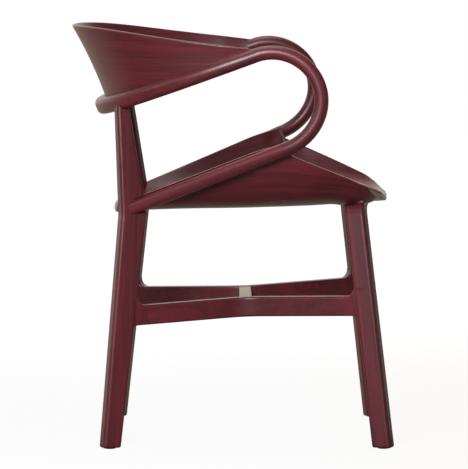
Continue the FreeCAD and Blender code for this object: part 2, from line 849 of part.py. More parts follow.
paired["arm_bend"] = arm_bend_blank().cut([arm_dowel(bend_point(0), rail_back, dowel_gap),
                                           arm_dowel(bend_point(1), side_rail_axis, dowel_gap)])

paired["side_rail"] = side_rail_blank().cut([housing_end, seat_space.cut(rear_post_room),
                                             arm_dowel(bend_point(1), side_rail_axis, dowel_gap),
                                             side_dowel(dowel_gap)])

side_holes = [arm_dowel(bend_point(0), rail_back, dowel_gap)] + rear_leg_top_dowels(dowel_gap)
pieces["back_rail"] = back_rail_blank().cut([back_shell_loft(True)] + side_holes
                                            + [mirrored(hole) for hole in side_holes])
pieces["back_shell"] = back_shell_loft().cut(pieces["back_rail"])

seat_cuts = [rear_post_room, seat_dowel(dowel_gap)] + front_leg_dowels(dowel_gap)
pieces["seat_shell"] = seat_block(False).cut([seat_side_trim()] + seat_end_trims() + seat_cuts
                                             + [mirrored(cut) for cut in seat_cuts])

paired["front_leg"] = front_leg_post().fuse(front_nub).cut(
    [seat_space, tenon(front_leg, front_face, dowel_gap), glide_pin(front_leg, dowel_gap)]
    + front_leg_dowels(dowel_gap))

paired["rear_leg"] = rear_leg_post().fuse(rear_nub).cut(
    [back_rail_blank(glue_gap), side_rail_blank(glue_gap).cut(housing_end), side_dowel(dowel_gap),
     seat_dowel(dowel_gap), tenon(rear_leg, rear_face, dowel_gap), glide_pin(rear_leg, dowel_gap)]
    + rear_leg_top_dowels(dowel_gap))

paired["stretcher"] = stretcher.cut([cross_bar, tenon(front_leg, front_face, dowel_gap),
                                     tenon(rear_leg, rear_face, dowel_gap),
                                     cross_bar_stud(bend_face, bar_centre, dowel_gap)])

bar_hole = cross_bar_stud(bend_face, bar_centre, dowel_gap)
pieces["cross_bar"] = cross_bar.cut([bar_hole, mirrored(bar_hole)])

paired["arm_upper_dowel"] = arm_dowel(bend_point(0), rail_back)
paired["arm_lower_dowel"] = arm_dowel(bend_point(1), side_rail_axis)
paired["rear_leg_top_dowels"] = Part.makeCompound(rear_leg_top_dowels())
paired["front_leg_dowels"] = Part.makeCompound(front_leg_dowels())
paired["side_rail_dowel"] = side_dowel()
paired["seat_edge_dowel"] = seat_dowel()
paired["front_stretcher_tenon"] = tenon(front_leg, front_face)
paired["rear_stretcher_tenon"] = tenon(rear_leg, rear_face)
paired["cross_bar_stud"] = cross_bar_stud(bend_face, bar_centre)
paired["front_foot_glide"] = foot_glide(front_leg)
paired["rear_foot_glide"] = foot_glide(rear_leg)

for name, shape in paired.items():
    pieces[name + "_left"] = shape
    pieces[name + "_right"] = mirrored(shape)

os.makedirs("parts", exist_ok=True)
for name, shape in pieces.items():
    solids = shape.Solids
    whole = solids[0] if len(solids) == 1 else Part.makeCompound(solids)
    whole.exportStep("parts/" + name + ".step")
    print(name, len(solids), "solids,", round(shape.Volume / 1000, 1), "cm3")
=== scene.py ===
import math

import bmesh
import bpy
from mathutils import Matrix, Vector


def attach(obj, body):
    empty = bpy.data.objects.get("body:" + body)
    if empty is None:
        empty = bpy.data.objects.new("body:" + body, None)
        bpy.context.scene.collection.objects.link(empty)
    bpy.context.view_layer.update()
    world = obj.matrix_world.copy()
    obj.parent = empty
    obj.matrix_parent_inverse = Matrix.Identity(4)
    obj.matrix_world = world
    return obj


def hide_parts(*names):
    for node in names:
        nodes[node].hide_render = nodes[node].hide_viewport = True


# Dining armchair in burgundy-stained wood. Metres, +Z up, the chair faces -Y, "left" is +X.
# The rails, legs, stretchers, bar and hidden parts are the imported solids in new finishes. The
# two moulded shells are modelled here with soft edges, on the same lines as their solids.

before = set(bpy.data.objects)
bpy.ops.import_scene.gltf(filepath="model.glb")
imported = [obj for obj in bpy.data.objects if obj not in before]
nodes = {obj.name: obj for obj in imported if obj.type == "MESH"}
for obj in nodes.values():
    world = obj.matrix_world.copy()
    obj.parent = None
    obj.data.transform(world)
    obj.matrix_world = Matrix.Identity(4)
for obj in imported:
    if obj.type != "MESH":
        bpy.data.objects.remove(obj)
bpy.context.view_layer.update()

ACROSS = Vector((1, 0, 0))
LENGTHWAYS = Vector((0, 1, 0))

# Rails and loops: the back rail and both bends lie on one slope

RAIL_SLOPE = math.radians(19.75)
RAIL_BACK = Vector((0, math.cos(RAIL_SLOPE), -math.sin(RAIL_SLOPE)))
RAIL_UP = Vector((0, math.sin(RAIL_SLOPE), math.cos(RAIL_SLOPE)))
LOOP_DIAMETER = 0.0255
ARM_HALF_SPREAD = 0.264
ARM_START = Vector((0, -0.0445, 0.7179))
BACK_RAIL_REAR = 0.2369
BACK_RAIL_RUN = (BACK_RAIL_REAR - ARM_START.y) / math.cos(RAIL_SLOPE)
BACK_RAIL_POWER = 2.35
BACK_RAIL_WIDTH = 0.030
BACK_RAIL_DEPTH = 0.031
BACK_RAIL_TAPER_POWER = 1.5
BEND_RADIUS = 0.0885
BEND_CENTRE = ARM_START - RAIL_UP * BEND_RADIUS
BEND_SLIP = 0.008
BEND_END_SPREAD = 0.262
SIDE_RAIL_DEPTH = 0.025
SIDE_FRONT = (ARM_START - RAIL_UP * (2 * BEND_RADIUS) + RAIL_BACK * BEND_SLIP
              + ACROSS * BEND_END_SPREAD)
SIDE_REAR = Vector((0.1738, 0.163, 0.4425))
SIDE_AXIS = (SIDE_REAR - SIDE_FRONT).normalized()
SIDE_SLOPE = -SIDE_AXIS.z / SIDE_AXIS.y

# Legs, for the run of their grain

FRONT_FOOT = Vector((0.215, -0.2775, 0))
FRONT_KNEE = Vector((0.162, -0.229, 0.424))
REAR_FOOT = Vector((0.215, 0.221, 0))
REAR_TOP = Vector((0.156, 0.1986, 0.6085))

# Back shell

SHELL_SHEET = 0.0075
SHELL_REBATE = 0.020
SHELL_FLARE = 0.0043
SHELL_RUN_OUT = 0.9
SHELL_TIP = 0.3
RIM_HEIGHT = 0.766
RIM_REAR = 0.2965
RIM_POWER = 2.25
RIM_END_RISE = 0.011
RIM_FULLNESS = 1.1
RIM_FULLNESS_POWER = 4
RIM_ROUNDING = 0.0024

# Seat shell: these tables run evenly from its rear edge to its front lip

SEAT_SHEET = 0.010
SEAT_HEIGHT = 0.4543
SEAT_FRONT = 0.2905
SEAT_REAR = 0.2175
SEAT_DIP = 0.021
DIP_SHARES = (1.0, 0.864, 0.773, 0.705, 0.65, 0.55, 0.43, 0.28, 0.12, 0.0)
EDGE_ANGLES = (25.0, 42.0, 52.0, 60.0, 65.0, 69.0, 70.0, 68.0, 63.0, 45.0)
FLAT_SHARE = 0.55
FRONT_EDGE_ANGLE = 24.0
FRONT_EASE_Y = -0.25
FRONT_EASE_RUN = 0.04
FRONT_SWELL = 0.0022

# Seat shell's ends in plan

REAR_BOW_RADIUS = 1.4
FRONT_BOW_RADIUS = 0.9
CORNER_START = 0.085
CORNER_RADIUS = 0.25

# Seat shell's sides lap the side rails, and become wings in front of the loops. The wings'
# tables run evenly from the loop to the front.

EDGE_INSET = 0.0115
EDGE_RISE = 0.0028
EDGE_TUCK = 0.0038
EDGE_TUCK_RUN = 0.06
EDGE_REACH = 0.1
RAIL_EDGE_RISE = SIDE_RAIL_DEPTH / 2 * math.sqrt(1 + SIDE_SLOPE ** 2) + EDGE_RISE
LEAST_LIFT = 0.004
LIP_LIFT = 0.0022
WING_SPREAD_SHARES = (0.947, 0.963, 0.88, 0.757, 0.55)
WING_RISE_SHARES = (1.0, 0.888, 0.69, 0.43, 0.16)
WING_LAP = 0.0044
WING_FALL = math.radians(22.9)
WING_START = SIDE_FRONT - RAIL_UP * (LOOP_DIAMETER / 2 - WING_LAP)
JOINT_TOP_Y = SIDE_FRONT.y + RAIL_UP.y * LOOP_DIAMETER / 2
JOINT_SHIFT = 0.0045
NOSE_RADIUS = 0.03
NOSE_START_Y = -SEAT_FRONT + NOSE_RADIUS * (1 - math.sin(WING_FALL))
NOSE_START_Z = WING_START.z - (WING_START.y - NOSE_START_Y) * math.tan(WING_FALL)
NOSE_CORE_Y = NOSE_START_Y + math.sin(WING_FALL) * NOSE_RADIUS
NOSE_CORE_Z = NOSE_START_Z - math.cos(WING_FALL) * NOSE_RADIUS

# Seat shell's soft edges, its flush join with the loops, and its cover over the front legs

LIP_END = 0.0002
REAR_ROUNDING = 0.0045
FRONT_ROUNDING = 0.0045
FRONT_UNDER_ROUNDING = 0.0026
EDGE_ROUNDING = 0.0026
EDGE_ROUNDING_STEPS = 3
SHARP_ANGLE = math.radians(50)
FEATHER = 0.0045
FEATHER_START_Y = -0.062
FEATHER_RUN = 0.024
FEATHER_DROP = 0.013
FEATHER_FADE = 0.007
LEG_COVER = 0.0068
LEG_COVER_MIDDLE = Vector((0.178, -0.241))
LEG_COVER_REACH = Vector((0.03, 0.042))
LEG_COVER_FULLNESS = 1.5

# How finely the shells are made. Rings crowd at the loops and at both lips: the stops are
# distances from the seat's rear edge, with the count of rings between one and the next.

PATH_SAMPLES = 1200
SHELL_STATIONS = 150
SHELL_LEVELS = 14
RIM_STEPS = 4
EDGE_STEP = 0.004
EDGE_SOFTENING = 12
EDGE_TABLE_START = -0.3
EDGE_TABLE_COUNT = 136
SHARE_LIMITS = (0.3, 2.2)
SHARE_HALVINGS = 24
SHARE_START = -SEAT_FRONT - 0.002
SHARE_STEP = 0.001
SHARE_COUNT = 515
SEAT_COLUMNS = 72
COLUMN_POWER = 0.8
BOW_ROUNDS = 8
REAR_LIP_RINGS = (0.0, 0.0008, 0.002, 0.0045)
SEAT_STOPS = (0.009, SEAT_REAR - JOINT_TOP_Y - 0.004, SEAT_REAR - WING_START.y + 0.006,
              SEAT_REAR - NOSE_START_Y)
SEAT_STOP_RINGS = (34, 16, 26)
NOSE_RINGS = 14

# Maps of the shells' veneers: each face of a sheet has a leaf of its own

INNER_LEAF_SHIFT = 0.3
UNDER_LEAF_SHIFT = 0.03
MAP_TURN_SHARE = 0.175
MAP_SPREAD_SHARE = 0.3


def mix(start, end, share):
    return start + (end - start) * share


def signed_power(value, power):
    return math.copysign(abs(value) ** power, value)


def ease(share):
    """0 below 0, 1 above 1 and smooth between."""
    share = min(max(share, 0), 1)
    return share * share * (3 - 2 * share)


def smooth_value(shares, place):
    """Smooth curve through an evenly spaced table, place 0 at its start and 1 at its end."""
    spans = len(shares) - 1
    index = min(max(int(place * spans), 0), spans - 1)
    local = place * spans - index
    before, start = shares[max(index - 1, 0)], shares[index]
    end, after = shares[index + 1], shares[min(index + 2, spans)]
    leave = (end - before) / (2 if index > 0 else 1)
    arrive = (after - start) / (2 if index + 2 <= spans else 1)
    return mix(start + local * leave, end - (1 - local) * arrive, ease(local))


def table_pair(table, place):
    """The entries of a table on both sides of a place, and the share between them."""
    place = min(max(place, 0), len(table) - 1.001)
    return table[int(place)], table[int(place) + 1], place % 1


def colour(red, green, blue):
    """Colour from its everyday 0 to 255 values."""
    def linear(value):
        value /= 255
        return value / 12.92 if value <= 0.04045 else ((value + 0.055) / 1.055) ** 2.4
    return linear(red), linear(green), linear(blue), 1.0


# Material recipes: a Wire is one socket, and sums of wires add the nodes that work them out

class Wire:
    """A socket of a material; the maths written on it is added to the material as nodes."""

    def __init__(self, socket):
        self.socket = socket
        self.tree = socket.id_data

    def add(self, kind, settings=None, inputs=None, output=0):
        return add_node(self.tree, kind, settings, inputs, output)

    def math(self, operation, *values):
        return self.add("ShaderNodeMath", {"operation": operation}, dict(enumerate(values)))

    def __add__(self, other):
        return self.math("ADD", self, other)

    def __radd__(self, other):
        return self.math("ADD", other, self)

    def __sub__(self, other):
        return self.math("SUBTRACT", self, other)

    def __rsub__(self, other):
        return self.math("SUBTRACT", other, self)

    def __mul__(self, other):
        return self.math("MULTIPLY", self, other)

    def __rmul__(self, other):
        return self.math("MULTIPLY", other, self)

    def __pow__(self, other):
        return self.math("POWER", self, other)

    def either(self, other):
        """The greater of two wires."""
        return self.math("MAXIMUM", self, other)

    def span(self, low, high):
        """0 below low, 1 above high and smooth between."""
        return self.add("ShaderNodeMapRange", {"interpolation_type": "SMOOTHSTEP", "clamp": True},
                        {"Value": self, "From Min": low, "From Max": high})

    def along(self, axis, origin=(0, 0, 0)):
        """Distance of a point past an origin, along an axis."""
        moved = self.add("ShaderNodeVectorMath", {"operation": "SUBTRACT"},
                         {0: self, 1: tuple(origin)})
        return moved.add("ShaderNodeVectorMath", {"operation": "DOT_PRODUCT"},
                         {0: moved, 1: tuple(axis)}, "Value")

    def blend(self, low, high):
        """Colour between two, by this wire's value."""
        return self.add("ShaderNodeMix", {"data_type": "RGBA"}, {0: self, 6: low, 7: high}, 2)

    def bump(self, strength, distance):
        """Surface direction, tilted as this wire's height says."""
        return self.add("ShaderNodeBump", None,
                        {"Strength": strength, "Distance": distance, "Height": self})


def add_node(tree, kind, settings=None, inputs=None, output=0):
    """Adds one node: its settings first, then the values or wires of its sockets."""
    node = tree.nodes.new(kind)
    for name, value in (settings or {}).items():
        setattr(node, name, value)
    for name, value in (inputs or {}).items():
        if isinstance(value, Wire):
            tree.links.new(value.socket, node.inputs[name])
        else:
            node.inputs[name].default_value = value
    return Wire(node.outputs[output])


def new_material(name):
    """Empty material: the material, its tree, and the point of the piece that it is asked for."""
    material = bpy.data.materials.new(name)
    material.use_nodes = True
    tree = material.node_tree
    tree.nodes.clear()
    return material, tree, add_node(tree, "ShaderNodeTexCoord", None, None, "Object")


def end_tree(tree, kind, surface):
    """Joins a finished surface to a tree's output."""
    output = tree.nodes.new(kind)
    tree.links.new(surface.socket, output.inputs["Surface"])


def finish_surface(tree, inputs):
    shader = add_node(tree, "ShaderNodeBsdfPrincipled", None, inputs)
    end_tree(tree, "ShaderNodeOutputMaterial", shader)


def grain_noise(flow, run_scale, cross_scale, detail, roughness=0.55, distortion=0.0):
    """Pattern drawn out along the grain, whose flow is run, across and depth."""
    run, across, depth = flow
    point = run.add("ShaderNodeCombineXYZ", None, {0: run * run_scale, 1: across * cross_scale,
                                                   2: depth * cross_scale})
    return point.add("ShaderNodeTexNoise", None,
                     {"Vector": point, "Scale": 1.0, "Detail": detail,
                      "Roughness": roughness, "Distortion": distortion})


# Grains: each gives a function from a point to the grain's flow there

def straight_grain(axis, seed):
    """Grain that runs straight along an axis."""
    axis = Vector(axis).normalized()
    side = axis.orthogonal().normalized()
    third = axis.cross(side)

    def grain(point):
        return point.along(axis) + seed, point.along(side), point.along(third)
    return grain


def bent_grain(centre, start, rise, axle, radius, seed):
    """Grain that follows a bend round an axle."""
    def grain(point):
        first = point.along(start, centre)
        second = point.along(rise, centre)
        turn = first.math("ARCTAN2", second, first)
        distance = (first * first + second * second) ** 0.5
        return turn * radius + seed, distance, point.along(axle)
    return grain


def sheet_grain(seed):
    """Grain of a moulded sheet, along the first direction of its own map."""
    def grain(point):
        place = point.add("ShaderNodeUVMap", {"uv_map": "sheet"})
        run = place.add("ShaderNodeSeparateXYZ", None, {0: place})
        across = Wire(run.socket.node.outputs[1])
        return run + seed, across, across * 0.0
    return grain


# Finishes

DARK_STAIN = colour(64, 20, 26)
MID_STAIN = colour(112, 32, 40)
WARM_STAIN = colour(126, 34, 50)
PORE_STAIN = colour(34, 11, 15)
JOINT_LINE = (0.0001, 0.0005)


def stained(name, grain, richness=1.0, joints=()):
    """Open-grain wood stained burgundy under satin lacquer, with a fine line at each joint."""
    material, tree, point = new_material(name)
    flow = grain(point)
    streaks = grain_noise(flow, 3.0, 230.0, detail=4.0, roughness=0.6, distortion=0.4)
    fibres = grain_noise(flow, 14.0, 900.0, detail=2.0)
    figure = grain_noise(flow, 1.6, 22.0, detail=3.0, roughness=0.5, distortion=1.2)
    flecks = grain_noise(flow, 70.0, 2100.0, detail=1.0)
    pores = flecks.span(0.60, 0.72) * streaks.span(0.35, 0.6)
    tone = streaks * 0.5 + fibres * 0.35 + figure * 0.15
    shade = tone.span(0.3, 0.72).blend(DARK_STAIN, MID_STAIN)
    shade = (figure.span(0.5, 0.75) * (0.35 * richness)).blend(shade, WARM_STAIN)
    shade = (pores * 0.55).blend(shade, PORE_STAIN)
    for axis, origin in joints:
        past = point.along(axis, origin)
        line = 1 - past.math("ABSOLUTE", past).span(*JOINT_LINE)
        shade = (line * 0.5).blend(shade, PORE_STAIN)
    height = fibres * 0.6 + streaks * 0.25 - pores * 0.8
    finish_surface(tree, {"Base Color": shade,
                          "Roughness": 0.5 + fibres * 0.12 + pores * 0.12,
                          "Specular IOR Level": 0.22,
                          "Coat Weight": 0.9, "Coat Roughness": 0.34, "Coat IOR": 1.5,
                          "Normal": height.bump(0.25, 0.00012)})
    return material


def brushed_metal(name):
    """Warm satin metal, brushed along the bar."""
    material, tree, point = new_material(name)
    flow = straight_grain(ACROSS, 0.0)(point)
    lines = grain_noise(flow, 12.0, 3200.0, detail=2.0)
    cloud = grain_noise(flow, 25.0, 60.0, detail=3.0)
    shade = (lines * 0.6 + cloud * 0.4).blend(colour(136, 120, 102), colour(196, 180, 160))
    finish_surface(tree, {"Base Color": shade, "Metallic": 1.0,
                          "Roughness": 0.34 + lines * 0.14,
                          "Normal": lines.bump(0.2, 0.00005)})
    return material


def plain_speckled(name, low, high, roughness, metallic, scale):
    """Small hidden parts: a cloudy tone and a fine tooth."""
    material, tree, point = new_material(name)
    cloud = point.add("ShaderNodeTexNoise", None,
                      {"Vector": point, "Scale": scale, "Detail": 4.0})
    finish_surface(tree, {"Base Color": cloud.blend(low, high), "Metallic": metallic,
                          "Roughness": roughness + cloud * 0.1,
                          "Normal": cloud.bump(0.2, 0.0001)})
    return material


def dress(node, material):
    """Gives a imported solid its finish."""
    slots = node.material_slots
    if not slots:
        node.data.materials.append(material)
    for slot in slots:
        slot.material = material


# Meshes

def sheet_object(name, rows, maps, material):
    """Closed skin through rings of points; each ring goes once round the sheet's section."""
    mesh = bmesh.new()
    layer = mesh.loops.layers.uv.new("sheet")
    grid = [[mesh.verts.new(point) for point in row] for row in rows]
    width = len(rows[0])
    last = len(rows) - 1

    def face(places):
        made = mesh.faces.new([grid[row][column] for row, column in places])
        for loop, (row, column) in zip(made.loops, places):
            loop[layer].uv = maps[row][column]
        made.smooth = True

    for row in range(last):
        for column in range(width):
            following = (column + 1) % width
            face([(row, column), (row + 1, column), (row + 1, following), (row, following)])
    face([(0, column) for column in reversed(range(width))])
    face([(last, column) for column in range(width)])
    bmesh.ops.recalc_face_normals(mesh, faces=mesh.faces)
    data = bpy.data.meshes.new(name)
    mesh.to_mesh(data)
    mesh.free()
    data.materials.append(material)
    piece = bpy.data.objects.new(name, data)
    bpy.context.scene.collection.objects.link(piece)
    return piece


def soften_edges(piece, width):
    """Rounds a piece's sharp long edges, for good."""
    rounding = piece.modifiers.new("rounding", "BEVEL")
    rounding.width = width
    rounding.segments = EDGE_ROUNDING_STEPS
    rounding.limit_method = "ANGLE"
    rounding.angle_limit = SHARP_ANGLE
    rounding.harden_normals = False
    view = bpy.context.evaluated_depsgraph_get()
    finished = bpy.data.meshes.new_from_object(piece.evaluated_get(view))
    piece.modifiers.clear()
    piece.data = finished
    return piece


# Back shell: turn is 0 at the rear, 1 at the left arm and -1 at the right arm

def rail_point(turn):
    """Point of the back rail's centre line."""
    angle = turn * math.pi / 2
    power = 2 / BACK_RAIL_POWER
    across = ARM_HALF_SPREAD * signed_power(math.sin(angle), power)
    back = BACK_RAIL_RUN * signed_power(max(math.cos(angle), 0), power)
    return ARM_START + ACROSS * across + RAIL_BACK * back


def rail_outward(turn):
    """Direction out of the back rail's curve, in its own plane."""
    angle = turn * math.pi / 2
    power = 2 - 2 / BACK_RAIL_POWER
    across = signed_power(math.sin(angle), power) * BACK_RAIL_RUN
    back = signed_power(max(math.cos(angle), 0), power) * ARM_HALF_SPREAD
    return (ACROSS * across + RAIL_BACK * back).normalized()


def rail_size(turn):
    """Width and depth of the back rail, round where it meets the arms."""
    share = abs(turn) ** BACK_RAIL_TAPER_POWER
    return (mix(BACK_RAIL_WIDTH, LOOP_DIAMETER, share),
            mix(BACK_RAIL_DEPTH, LOOP_DIAMETER, share))


def shell_foot(turn):
    """Middle of the sheet at the height of the rail's centre."""
    inset = (rail_size(turn)[0] - SHELL_SHEET) / 2
    return rail_point(turn) - rail_outward(turn) * inset


def shell_rim(turn):
    """Middle of the sheet at its top edge."""
    angle = turn * math.pi / 2
    power = 2 / RIM_POWER
    inset = SHELL_SHEET / 2
    across = (ARM_HALF_SPREAD - inset) * signed_power(math.sin(angle), power)
    share = signed_power(max(math.cos(angle), 0), power)
    back = (RIM_REAR - ARM_START.y - inset) * share
    rise_share = share + RIM_FULLNESS * share ** RIM_FULLNESS_POWER * (1 - share)
    height = mix(ARM_START.z + RIM_END_RISE, RIM_HEIGHT, rise_share)
    return Vector((across, ARM_START.y + back, height))


def shell_ring(turn, full_rise):
    """Outline of the sheet at one place: up its outside, over the rim and down its inside."""
    foot = shell_foot(turn)
    rise = shell_rim(turn) - foot
    height = rise.length
    up = rise.normalized()
    outward = rail_outward(turn)
    normal = (outward - up * outward.dot(up)).normalized()
    rail_depth = rail_size(turn)[1]
    below = SHELL_REBATE * rail_depth / BACK_RAIL_DEPTH - rail_depth / 2
    bow = SHELL_FLARE * height / full_rise
    taper = mix(1, SHELL_TIP, ease((abs(turn) - SHELL_RUN_OUT) / (1 - SHELL_RUN_OUT)))
    outer = SHELL_SHEET / 2
    inner = outer - SHELL_SHEET * taper
    rounding = RIM_ROUNDING * taper

    def place(level, aside):
        most = (height / 2 + below) * height / 2
        bulge = -bow * (level + below) * (height - level) / most
        return foot + up * level + normal * (aside + bulge)

    def rim_corner(step, face, inwards):
        """Point of the rim's rounded corner, from a face of the sheet to its top."""
        angle = step * math.pi / (2 * RIM_STEPS)
        return place(height - rounding * (1 - math.sin(angle)),
                     face + inwards * rounding * (1 - math.cos(angle)))

    levels = [mix(-below, height - rounding, step / SHELL_LEVELS)
              for step in range(SHELL_LEVELS + 1)]
    steps = range(1, RIM_STEPS + 1)
    return ([place(level, outer) for level in levels]
            + [rim_corner(step, outer, -1) for step in steps]
            + [rim_corner(step, inner, 1) for step in reversed(steps)]
            + [place(level, inner) for level in reversed(levels)])


def back_shell(material):
    """Moulded sheet that wraps round the back and runs out to a point at each arm."""
    full_rise = (shell_rim(0) - shell_foot(0)).length
    turns = [2 * index / PATH_SAMPLES - 1 for index in range(PATH_SAMPLES + 1)]
    lengths = [0]
    for first, second in zip(turns, turns[1:]):
        lengths.append(lengths[-1] + (rail_point(second) - rail_point(first)).length)
    rows, maps = [], []
    index = 0
    for station in range(SHELL_STATIONS + 1):
        wanted = lengths[-1] * station / SHELL_STATIONS
        while index < PATH_SAMPLES and lengths[index] < wanted:
            index += 1
        ring = shell_ring(turns[index], full_rise)
        rows.append(ring)
        maps.append([(wanted, point.z + (INNER_LEAF_SHIFT if place > len(ring) / 2 else 0))
                     for place, point in enumerate(ring)])
    return sheet_object("back_shell_moulded", rows, maps, material)


# Seat shell

def side_centre(y):
    """Centre of the side rail, or of its line run on, at a place along the chair."""
    return mix(SIDE_FRONT, SIDE_REAR, (y - SIDE_FRONT.y) / (SIDE_REAR.y - SIDE_FRONT.y))


def sharp_edge(y):
    """Spread and height of the line that the seat's side climbs to, with a ridge at each loop."""
    centre = side_centre(max(y, SIDE_FRONT.y))
    if y >= SIDE_FRONT.y:
        return centre.x - EDGE_INSET, centre.z + RAIL_EDGE_RISE
    place = min((SIDE_FRONT.y - y) / (SIDE_FRONT.y + SEAT_FRONT), 1)
    rise = centre.z + RAIL_EDGE_RISE - SEAT_HEIGHT
    return (ARM_HALF_SPREAD * smooth_value(WING_SPREAD_SHARES, place),
            SEAT_HEIGHT + rise * smooth_value(WING_RISE_SHARES, place))


def softened_edge():
    """The edge line with its ridge worn smooth, at even steps along the seat."""
    reach = range(-EDGE_SOFTENING, EDGE_SOFTENING + 1)
    weights = [1 + math.cos(math.pi * step / (EDGE_SOFTENING + 1)) for step in reach]
    table = []
    for index in range(EDGE_TABLE_COUNT):
        y = EDGE_TABLE_START + index * EDGE_STEP
        near = [sharp_edge(y + step * EDGE_STEP) for step in reach]
        table.append([sum(weight * value[axis] for weight, value in zip(weights, near))
                      / sum(weights) for axis in (0, 1)])
    return table


EDGE_TABLE = softened_edge()


def seat_edge(y):
    """Spread and height of the edge line at a place along the chair."""
    low, high, share = table_pair(EDGE_TABLE, (y - EDGE_TABLE_START) / EDGE_STEP)
    return mix(low[0], high[0], share), mix(low[1], high[1], share)


def seat_middle(y):
    """Height of the seat's middle and the slope of its sides."""
    place = min(max((SEAT_REAR - y) / (SEAT_REAR + SEAT_FRONT), 0), 1)
    front_share = ease((FRONT_EASE_Y - y) / FRONT_EASE_RUN)
    angle = mix(smooth_value(EDGE_ANGLES, place), FRONT_EDGE_ANGLE, front_share)
    return SEAT_HEIGHT - SEAT_DIP * smooth_value(DIP_SHARES, place), math.radians(angle)


def seat_section(y):
    """Guide points of the curve across the seat at a place, and the slope of its side."""
    middle, angle = seat_middle(y)
    edge_x, edge_z = seat_edge(y)
    edge_z = max(edge_z, middle + LEAST_LIFT)
    crease = edge_x - (edge_z - middle) / math.tan(angle)
    return ((0, middle), (crease * FLAT_SHARE, middle), (crease, middle), (crease, middle),
            (edge_x, edge_z)), angle


def seat_curve(section, t, depth):
    """Point across the seat, t 0 in the middle and 1 at the edge line, deep in the sheet."""
    guides, angle = section
    inside = min(t, 1)
    rest = 1 - inside
    weights = (rest ** 4, 4 * inside * rest ** 3, 6 * inside ** 2 * rest ** 2,
               4 * inside ** 3 * rest, inside ** 4)
    x = sum(weight * guide[0] for weight, guide in zip(weights, guides))
    z = sum(weight * guide[1] for weight, guide in zip(weights, guides))
    slopes = (rest ** 3, 3 * inside * rest ** 2, 3 * inside ** 2 * rest, inside ** 3)
    steps = list(zip(slopes, guides, guides[1:]))
    run_x = sum(slope * (second[0] - first[0]) for slope, first, second in steps)
    run_z = sum(slope * (second[1] - first[1]) for slope, first, second in steps)
    steep = math.hypot(run_x, run_z)
    if t > 1:
        x += math.cos(angle) * (t - 1) * EDGE_REACH
        z += math.sin(angle) * (t - 1) * EDGE_REACH
    return x + run_z / steep * depth, z - run_x / steep * depth


def outline_height(y):
    """Height of the seat's outline in side view: along the rail, then down the wing."""
    tuck = EDGE_TUCK * ease((JOINT_TOP_Y + EDGE_TUCK_RUN - y) / EDGE_TUCK_RUN)
    upper = side_centre(y).z + RAIL_EDGE_RISE - tuck
    if y < NOSE_START_Y:
        lower = NOSE_CORE_Z + math.sqrt(max(NOSE_RADIUS ** 2 - (y - NOSE_CORE_Y) ** 2, 0))
    else:
        lower = WING_START.z - (WING_START.y - y) * math.tan(WING_FALL)
    past_joint = (JOINT_TOP_Y - JOINT_SHIFT - y) / (JOINT_TOP_Y - WING_START.y)
    return mix(upper, lower, ease(past_joint))


def edge_share(y, depth):
    """Where the curve across the seat reaches the outline."""
    goal = max(outline_height(y), seat_middle(y)[0] + LIP_LIFT)
    section = seat_section(y)
    low, high = SHARE_LIMITS
    for _ in range(SHARE_HALVINGS):
        middle = (low + high) / 2
        if seat_curve(section, middle, depth)[1] < goal:
            low = middle
        else:
            high = middle
    return (low + high) / 2


SHARE_TABLES = {depth: [edge_share(SHARE_START + index * SHARE_STEP, depth)
                        for index in range(SHARE_COUNT)]
                for depth in (0.0, SEAT_SHEET)}


def shared_edge(y, depth):
    """The edge share from its table."""
    return mix(*table_pair(SHARE_TABLES[depth], (y - SHARE_START) / SHARE_STEP))


def rear_bow(x):
    """How far the rear edge bows forward at a place across the chair."""
    return REAR_BOW_RADIUS - math.sqrt(REAR_BOW_RADIUS ** 2 - x * x)


def front_bow(x):
    """How far the front lip bows back, with a tighter curve at its corners."""
    past_corner = max(x - CORNER_START, 0)
    return x * x / (2 * FRONT_BOW_RADIUS) + past_corner ** 2 / (2 * CORNER_RADIUS)


def feather(y, z):
    """How far the seat's inner face sinks to run flush into the loop's round end."""
    low = side_centre(y).z - FEATHER_DROP
    return (FEATHER * ease((FEATHER_START_Y - y) / FEATHER_RUN)
            * ease((z - low) / FEATHER_FADE))


def leg_cover(x, y):
    """Extra depth of the sheet where it sits over the top of each front leg."""
    aside = abs(x - LEG_COVER_MIDDLE.x) / LEG_COVER_REACH.x
    ahead = abs(y - LEG_COVER_MIDDLE.y) / LEG_COVER_REACH.y
    return LEG_COVER * ease(LEG_COVER_FULLNESS - aside) * ease(LEG_COVER_FULLNESS - ahead)


def worn_lip(radius, gap):
    """How far a rounded lip falls away at a gap from its end."""
    return radius - math.sqrt(radius ** 2 - (radius - gap) ** 2) if gap < radius else 0


def seat_point(share, across, under):
    """Point of the seat's top or underside, at a share of its length, with its own t."""
    depth = SEAT_SHEET if under else 0.0
    front = -SEAT_FRONT + LIP_END
    y = mix(SEAT_REAR, front, share)
    for _ in range(BOW_ROUNDS):
        t = abs(across) ** COLUMN_POWER * shared_edge(y, depth)
        x, z = seat_curve(seat_section(y), t, depth)
        y = mix(SEAT_REAR - rear_bow(x), front + front_bow(x), share)
    if under:
        x, z = seat_curve(seat_section(y), t, depth + leg_cover(x, y))
        z -= FRONT_SWELL * ease((FRONT_EASE_Y - y) / FRONT_EASE_RUN)
    else:
        x, z = seat_curve(seat_section(y), t, feather(y, z))
    front_gap = max(y + SEAT_FRONT - front_bow(x), LIP_END)
    rear_gap = max(SEAT_REAR - rear_bow(x) - y, 0) + LIP_END
    worn = max(worn_lip(FRONT_UNDER_ROUNDING if under else FRONT_ROUNDING, front_gap),
               worn_lip(REAR_ROUNDING, rear_gap))
    return x, y, z + (worn if under else -worn), t


